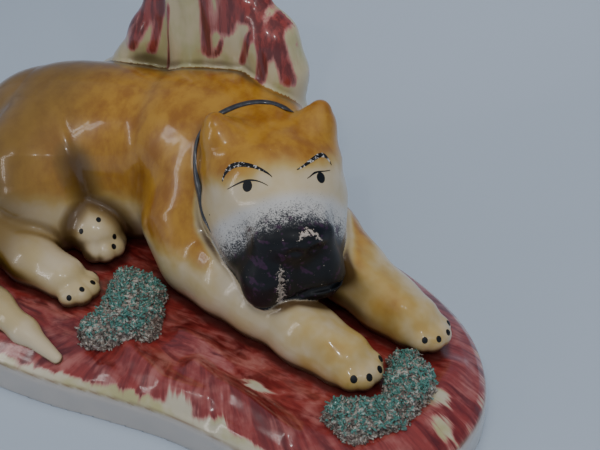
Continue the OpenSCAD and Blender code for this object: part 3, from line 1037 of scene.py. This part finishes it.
# The pieces that aren't halves: (CAD node, rank, mesh step, slot). A higher rank lies lower.
WHOLE_PIECES = [
    ("head", 0, 0.8, "head_glaze"),
    ("ear_near", 1, 0.6, "ochre_glaze"),
    ("ear_far", 1, 0.6, "ochre_glaze"),
    ("foreleg_near", 2, 1.0, "leg_glaze"),
    ("foreleg_far", 2, 1.0, "leg_glaze"),
    ("hind_leg_near", 2, 1.0, "leg_glaze"),
    ("hind_paw_far", 3, 0.8, "leg_glaze"),
    ("tail", 4, 1.0, "leg_glaze"),
]
HALF_STEP = 1.2


def make_figure():
    """The dog and the trunk, one closed piece for each CAD node."""
    glaze = figure_glaze()
    for node, rank, step, slot in WHOLE_PIECES:
        sculpt(node, figure_piece(node, rank), step * COARSE, slot, glaze)
    for half, side, rank in (("near", -1, 5), ("far", 1, 6)):
        field = figure_piece("body", rank, half_cut(SEAM_Y, side))
        sculpt(f"body_{half}_half", field, HALF_STEP * COARSE, "ochre_glaze", glaze)
    for half, side, rank in (("front", -1, 7), ("back", 1, 8)):
        field = figure_piece("trunk", rank, hollow_half_cut(TRUNK_Y, side))
        sculpt(f"trunk_{half}_half", field, HALF_STEP * COARSE, "trunk_glaze", glaze)


# Places on the mound where the maroon is thin and the cream shows: (x, y, half length, half width).
BARE_PATCHES = [
    (36, -70, 10, 4), (53, -71, 7, 4), (58, -46, 7, 4),
    (128, -16, 7, 6), (136, -27, 6, 6), (-118, -60, 12, 6),
    (-20, 74, 14, 5), (96, 40, 9, 6), (-120, 40, 10, 8),
]


def make_plinth():
    """The mound, its rim and its wall."""
    step = 1.2
    points, faces = surface(plinth_form, plinth_low, plinth_high + 3, step)
    points, normals = settle(plinth_form, points, step)
    p = tuple(points.T)
    inward = -rim_distance(p)
    height = points[:, 2]
    edge = ramp(-inward, -4, -3)
    wall = ramp(-height, -WALL_TOP - 0.4, -WALL_TOP + 0.4) * edge
    line = np.exp(-(((height - WALL_TOP - 0.6) / 0.55) ** 2)) * edge
    bare = ramp(-inward, -6, -1.5) * (1 - 0.6 * ramp(p[0], 96, 124))
    for x, y, long, wide in BARE_PATCHES:
        bare = np.maximum(bare, np.exp(-(((p[0] - x) / long) ** 2) - (((p[1] - y) / wide) ** 2)))
    turn = np.arctan2(p[1] / HALF_WIDTH, p[0] / HALF_LENGTH)
    # Where shade is painted on the mound: in its hollows and under the figure.
    crease = crease_depth(whole_figure, points, normals, 8)
    piece = new_piece("plinth_glazed", points, faces, normals, wall=wall, line=line, bare=bare, crease=crease,
                      inward=inward, turn_x=np.cos(turn), turn_y=np.sin(turn))
    hand_over(piece, plinth_glaze(), "plinth_glaze", "plinth_shell")


# Each heap of moss is built up along a line of balls, (x, y, z, radius).
MOSS_HEAPS = [
    ("moss_clump_hind", [
        (-26, -21, 25, 8), (-16, -30, 27, 11.5), (-10, -42, 26, 13), (-17, -53, 24, 9.5),
    ], 11),
    ("moss_clump_front", [(99, -46, 23, 7.2), (107, -45, 24, 8.8), (114, -38, 24, 8.4)], 12),
    ("moss_clump_paws", [(117, -28, 24, 8), (116, -17, 25, 8.8), (108, -5, 24, 7)], 13),
]


def tube_faces(rings, sides):
    """The faces of a closed tube, for rings of points along it."""
    faces = []
    for ring in range(rings - 1):
        for k in range(sides):
            a, b = ring * sides + k, ring * sides + (k + 1) % sides
            faces.append((b, a, a + sides, b + sides))
    faces.append(tuple(range(sides)))
    faces.append(tuple(range((rings - 1) * sides, rings * sides))[::-1])
    return faces


# The rings and sides of a strand of moss, and how many strands there are for each point of the core.
STRAND_RINGS = 4
STRAND_SIDES = 5
STRAND_SHARE = 0.8


def strand(start, way, bend, length, radius):
    """The rings of points of one short bent strand of clay."""
    across = np.cross(way, bend)
    across /= np.linalg.norm(across)
    up = np.cross(across, way)
    points = []
    for ring in range(STRAND_RINGS):
        t = ring / (STRAND_RINGS - 1)
        middle = start + way * length * t + bend * length * 1.1 * t * t
        size = radius * (1 - 0.35 * t**3)
        for k in range(STRAND_SIDES):
            a = 2 * math.pi * k / STRAND_SIDES
            points.append(middle + size * (across * math.cos(a) + up * math.sin(a)))
    return points


def make_moss(node, heap, seed, material):
    """A heap of short tangled strands of clay over a low lumpy core."""

    def core(p):
        lumps = 2.4 * waves(p, 2.6, seed)
        return np.maximum(chain(p, heap, 4) + lumps, -mound_form(p) - 1.5)

    line = np.array(heap)
    wide = line[:, 3].max() + 2
    low, high = line[:, :3].min(0) - wide, line[:, :3].max(0) + wide
    low[2] = MOUND_TOP - 5
    core_points, core_faces = surface(core, low, high, 1.0)
    facing = slopes(core, core_points, 0.6)
    facing /= np.linalg.norm(facing, axis=1, keepdims=True)
    rng = np.random.default_rng(seed)
    roots = np.flatnonzero((facing[:, 2] > -0.3) & (core_points[:, 2] > MOUND_TOP - 3))
    strand_faces = tube_faces(STRAND_RINGS, STRAND_SIDES)
    points, faces, tips = [], [], []
    for root in rng.choice(roots, int(len(roots) * STRAND_SHARE)):
        start = core_points[root] + rng.normal(0, 0.4, 3)
        way = 0.15 * facing[root] + rng.normal(0, 0.9, 3)
        way /= np.linalg.norm(way)
        bend = rng.normal(0, 1, 3)
        bend /= np.linalg.norm(bend)
        more = strand(start - way * 0.8, way, bend, rng.uniform(0.8, 1.7), rng.uniform(0.5, 0.8))
        faces += [tuple(i + len(points) for i in face) for face in strand_faces]
        points += more
        tips += [0.35 + 0.65 * (k // STRAND_SIDES) / (STRAND_RINGS - 1) for k in range(len(more))]
    faces += [tuple(i + len(points) for i in quad) for quad in core_faces]
    points = np.concatenate([np.array(points), core_points])
    tips = np.concatenate([tips, np.full(len(core_points), 0.1)])
    height = ramp(points[:, 2], MOUND_TOP, heap[1][2] + heap[1][3] * 0.8)
    piece = new_piece(f"{node}_strands", points, faces, tip=tips * (0.25 + 0.75 * height))
    hand_over(piece, material, "moss_glaze", node)


# The collar's half width at shares of its length, and the most that it stands up from the skin.
COLLAR_SHARES = [0, 0.06, 0.38, 0.48, 0.6, 0.73, 0.86, 1]
COLLAR_WIDTHS = [0.1, 1.4, 1.5, 0.8, 1.0, 2.2, 1.5, 0.1]
COLLAR_HEIGHT = 1.1


def make_collar():
    """The rolled dark strip round the neck, pointed where it ends below the cheek."""
    rings, sides = 120, 14
    t = np.linspace(0, 1, rings)
    known = np.linspace(0, 1, len(COLLAR_LINE))
    path = np.stack([np.interp(t, known, COLLAR_LINE[:, k]) for k in range(3)], axis=1)
    path, facing = onto(dog_skin, head_place(*path.T).T)
    for _ in range(60):
        for rows in (path, facing):
            rows[1:-1] = (rows[:-2] + 2 * rows[1:-1] + rows[2:]) / 4
    way = np.gradient(path, axis=0)
    side = np.cross(way, facing)
    side /= np.linalg.norm(side, axis=1, keepdims=True)
    up = np.cross(side, way)
    up /= np.linalg.norm(up, axis=1, keepdims=True)
    wide = np.interp(t, COLLAR_SHARES, COLLAR_WIDTHS)
    tall = np.minimum(wide, COLLAR_HEIGHT)
    points, normals = [], []
    for k in range(sides):
        a = 2 * math.pi * k / sides
        points.append(path + side * (wide * math.cos(a))[:, None] + up * (tall * math.sin(a))[:, None])
        normals.append(side * math.cos(a) + up * math.sin(a))
    points, normals = (np.stack(rows, axis=1).reshape(-1, 3) for rows in (points, normals))
    piece = new_piece("collar_strip", points, tube_faces(rings, sides), normals)
    hand_over(piece, collar_enamel(), "collar_enamel", "collar")


def onto(skin, points):
    """The nearest places on a skin, and the direction it faces at each."""
    for _ in range(3):
        slope = slopes(skin, points, 0.3)
        size = np.maximum((slope**2).sum(1, keepdims=True), 0.1)
        points = points - slope / size * field_at(skin, points)[:, None]
    slope = slopes(skin, points, 0.3)
    return points, slope / np.linalg.norm(slope, axis=1, keepdims=True)


def face_places(left, up):
    """The places on the face that lie straight behind points in front of it."""
    left, up = np.atleast_1d(left).astype(float), np.atleast_1d(up).astype(float)
    ahead = np.full(len(left), 66.0)
    for _ in range(30):
        gap = skull_form(tuple(head_place(ahead, left, up)))
        ahead = ahead - np.clip(gap, 0, 5) * 0.7
    return onto(dog_skin, head_place(ahead, left, up).T)


# How far a stroke stands up from the skin, how far its edge is sunk, and how thick enamel is.
STROKE_LIFT = 0.12
SUNK_EDGE = -0.1
SHELL_DEPTH = 0.5


def paint_stroke(name, line, widths, material, flaky=0.0):
    """A raised brush stroke on the face along a smooth curve through (left, up) places."""
    line = np.array(line, float)
    known = np.linspace(0, 1, len(line))
    t = np.linspace(0, 1, 40)
    path = np.stack([np.polyval(np.polyfit(known, line[:, k], 3), t) for k in (0, 1)], axis=1)
    spread = np.interp(t, np.linspace(0, 1, len(widths)), widths)
    way = np.gradient(path, axis=0)
    way /= np.linalg.norm(way, axis=1, keepdims=True)
    side = np.stack([-way[:, 1], way[:, 0]], axis=1)
    across = 7
    offsets = np.linspace(-0.5, 0.5, across)
    flat = (path[:, None] + side[:, None] * (spread[:, None] * offsets)[..., None]).reshape(-1, 2)
    points, facing = face_places(flat[:, 0], flat[:, 1])
    crown = np.full(across, STROKE_LIFT)
    crown[[0, -1]] = SUNK_EDGE
    points = points + facing * np.tile(crown, len(t))[:, None]
    ribbon(name, points, facing, len(t), across, material, flaky)


def shell(name, top, facing, faces, rim, material, flaky=0.0):
    """A thin closed shell of enamel: an upper skin, one sunk in the body, and a wall round the rim."""
    first = faces[len(faces) // 2]
    a, b, c = (top[i] for i in first[:3])
    if np.dot(np.cross(b - a, c - a), facing[first[0]]) < 0:
        faces = [face[::-1] for face in faces]
        rim = rim[::-1]
    count = len(top)
    under = [tuple(i + count for i in face[::-1]) for face in faces]
    wall = [(b, a, a + count, b + count) for a, b in zip(rim, rim[1:] + rim[:1])]
    points = np.concatenate([top, top - facing * SHELL_DEPTH])
    piece = new_piece(name, points, faces + under + wall, np.concatenate([facing, -facing]),
                      flaky=np.full(2 * count, flaky))
    hand_over(piece, material, "collar_enamel")


def ribbon(name, points, facing, count, across, material, flaky):
    """A strip of enamel from rows of points, riding on the figure."""
    faces = []
    for i in range(count - 1):
        for k in range(across - 1):
            a = i * across + k
            faces.append((a, a + 1, a + across + 1, a + across))
    last = (count - 1) * across
    rim = list(range(across)) + [i * across + across - 1 for i in range(1, count)]
    rim += list(range(last + across - 2, last - 1, -1)) + [i * across for i in range(count - 2, 0, -1)]
    shell(name, points, facing, faces, rim, material, flaky)


def paint_dot(name, place, size, material, lift=0.15):
    """A round dab of enamel on the skin nearest to a place."""
    place, direction = [v[0] for v in onto(dog_skin, np.array([place], float))]
    side = np.cross(direction, (0, 0, 1))
    side /= np.linalg.norm(side)
    up = np.cross(side, direction)
    rows, around = 3, 16
    points = [place]
    for row in range(1, rows + 1):
        for k in range(around):
            a = 2 * math.pi * k / around
            points.append(place + (side * size[0] * math.cos(a) + up * size[1] * math.sin(a)) * row / rows)
    points, facing = onto(dog_skin, np.array(points))
    crown = np.array([lift] * (1 + around * (rows - 1)) + [SUNK_EDGE] * around)
    points = points + facing * crown[:, None]
    faces = [(0, 1 + k, 1 + (k + 1) % around) for k in range(around)]
    for row in range(rows - 1):
        for k in range(around):
            a, b = 1 + row * around + k, 1 + row * around + (k + 1) % around
            faces.append((a, a + around, b + around, b))
    rim = list(range(len(points) - around, len(points)))
    shell(name, points, facing, faces, rim, material)


def make_face():
    enamel = face_enamel()
    brows = {
        "near": [(-24.6, 1.3), (-20.7, 6.5), (-16.3, 9.1), (-11.6, 9.2), (-7.0, 7.9), (-5.0, 6.6)],
        "far": [(6.1, 7.6), (11, 8.3), (16.7, 8.6), (19.6, 7.2), (22.8, 3.1)],
    }
    lids = {
        "near": [(-23, -0.5), (-19.1, 2.6), (-15.1, 4.8), (-11.4, 5.0), (-7.2, 4.1)],
        "far": [(9.9, 4.2), (12.5, 4.6), (15.3, 4.5), (21.5, 2.2)],
    }
    eyes = {"near": (-15.3, 2.9, 2.5, 2.9), "far": (16.4, 2.2, 2.6, 2.8)}
    for side in ("near", "far"):
        paint_stroke(f"brow_{side}", brows[side], [0.3, 1.1, 1.4, 1.25, 0.9, 0.3], enamel, flaky=1.0)
        paint_stroke(f"lid_{side}", lids[side], [0.25, 0.5, 0.85, 0.55, 0.25], enamel)
        left, up, across, tall = eyes[side]
        paint_dot(f"eye_{side}", face_places(left, up)[0][0], (across, tall), enamel)
    for index, (left, up) in enumerate(((9.0, -6.5), (-30.5, -16))):
        paint_dot(f"freckle_{index + 1}", face_places(left, up)[0][0], (0.4, 0.35), enamel, lift=0.1)


# The dabs on the toes of each paw: their places, and their size.
TOE_DABS = {
    "foreleg_near": (
        [(97.3, -32.3, 33.8), (102.5, -27.9, 33.8), (104.1, -21.1, 33.8), (101.3, -14.9, 33.8)], 1.9,
    ),
    "foreleg_far": (
        [(112.3, 4.2, 33.8), (117.3, 8.1, 33.8), (119, 14.3, 33.8), (116.5, 20.2, 33.8)], 1.6,
    ),
    "hind_leg_near": (
        [(-40.6, -46.1, 30.2), (-37.7, -40.1, 32.3), (-36.7, -33.3, 32.1), (-41, -25, 31)], 1.5,
    ),
    "hind_paw_far": (
        [(-56, -13.8, 41.5), (-52.3, -7.7, 43.6), (-46.8, -6.5, 37.9), (-44, -10.1, 33.6)], 1.4,
    ),
}


def make_toe_marks():
    """A dab of black enamel on each toe."""
    enamel = face_enamel()
    for node, (places, size) in TOE_DABS.items():
        for index, place in enumerate(places):
            paint_dot(f"toe_{node}_{index + 1}", place, (size * 0.85, size), enamel)


def make_all_moss():
    """Every heap of moss, in one glaze."""
    glaze = moss_glaze()
    for node, heap, seed in MOSS_HEAPS:
        make_moss(node, heap, seed, glaze)


def finish_slab():
    """Bare clay on the CAD's own slab, which closes the plinth below."""
    slab = bpy.data.objects["plinth_floor"]
    slab.data.materials.clear()
    slab.data.materials.append(bare_clay())


make_figure()
make_plinth()
make_collar()
make_face()
make_toe_marks()
make_all_moss()
finish_slab()

# ---------------------------------------------------------------- floor, light and camera


# The table in metres: half its width, its front edge, and the curve that turns it up into a backdrop.
TABLE_HALF_WIDTH = 5
TABLE_FRONT = -3
CURVE_START = 1.2
CURVE_RADIUS = 0.8
CURVE_STEPS = 12
BACKDROP_TOP = 4


def make_floor():
    """A pale table that curves up far behind the figure."""
    profile = [(TABLE_FRONT, 0), (CURVE_START, 0)]
    for k in range(1, CURVE_STEPS + 1):
        a = math.radians(90 * k / CURVE_STEPS)
        profile.append((CURVE_START + CURVE_RADIUS * math.sin(a), CURVE_RADIUS * (1 - math.cos(a))))
    profile.append((CURVE_START + CURVE_RADIUS, BACKDROP_TOP))
    points, faces = [], []
    for y, z in profile:
        points += [(-TABLE_HALF_WIDTH, y, z), (TABLE_HALF_WIDTH, y, z)]
    for i in range(len(profile) - 1):
        faces.append((2 * i, 2 * i + 1, 2 * i + 3, 2 * i + 2))
    floor = new_piece("table", np.array(points) / MM, faces)
    floor.data.materials.append(table_top())


def area_light(name, place, target, size, power, colour=(1, 1, 1), mirrored=True):
    light = bpy.data.lights.new(name, "AREA")
    light.shape = "RECTANGLE"
    light.size, light.size_y = size
    light.energy = power
    light.color = colour
    lamp = bpy.data.objects.new(name, light)
    lamp.location = place
    lamp.rotation_euler = (Vector(target) - Vector(place)).to_track_quat("-Z", "Y").to_euler()
    lamp.visible_glossy = mirrored
    lamp.visible_camera = False
    bpy.context.collection.objects.link(lamp)


ROOM_COLOUR = (0.58, 0.68, 0.82, 1)
ROOM_STRENGTH = 0.40


def make_light():
    """The room's even light, two panes of a window, and lamps that the glaze mirrors or doesn't."""
    world = bpy.data.worlds.new("room")
    world.use_nodes = True
    background = world.node_tree.nodes["Background"]
    background.inputs["Color"].default_value = ROOM_COLOUR
    background.inputs["Strength"].default_value = ROOM_STRENGTH
    bpy.context.scene.world = world
    target = (0.03, 0, 0.06)
    for pane, place in enumerate(((-0.77, -1.03, 0.62), (-0.71, -1.07, 0.62))):
        area_light(f"window_{pane + 1}", place, target, (0.03, 0.9), 0.9, (1, 0.93, 0.9))
    area_light("ceiling", (0.5, -0.3, 1.5), target, (1.8, 1.8), 15, (1, 0.98, 0.96), mirrored=False)
    area_light("behind", (-0.05, 0.5, 0.45), (-0.04, 0.3, 0), (0.15, 0.15), 0.5, mirrored=False)
    area_light("spot_left", (0.3, -0.8, 1.0), target, (0.03, 0.03), 0.9)
    area_light("spot_right", (0.75, -0.6, 0.95), target, (0.03, 0.03), 0.7)


# The camera: where it stands about the figure, what it aims at in mm from the plinth's middle, and its view.
CAMERA_AZIMUTH = math.radians(30)
CAMERA_ELEVATION = math.radians(36)
CAMERA_DISTANCE = 0.52
AIM_AHEAD = 49
AIM_LEFT = 7
AIM_HEIGHT = 70
HALF_VIEW = math.radians(14)


def make_camera():
    data = bpy.data.cameras.new("camera")
    camera = bpy.data.objects.new("camera", data)
    bpy.context.collection.objects.link(camera)
    back = Vector((
        math.sin(CAMERA_AZIMUTH) * math.cos(CAMERA_ELEVATION),
        -math.cos(CAMERA_AZIMUTH) * math.cos(CAMERA_ELEVATION),
        math.sin(CAMERA_ELEVATION),
    ))
    aim = Vector((MIDDLE[0] + AIM_AHEAD, MIDDLE[1] + AIM_LEFT, AIM_HEIGHT)) * MM
    camera.location = aim + back * CAMERA_DISTANCE
    camera.rotation_euler = (-back).to_track_quat("-Z", "Y").to_euler()
    data.sensor_width = 36
    data.lens = data.sensor_width / 2 / math.tan(HALF_VIEW)
    data.clip_start = 0.01
    bpy.context.scene.camera = camera


make_floor()
make_light()
make_camera()
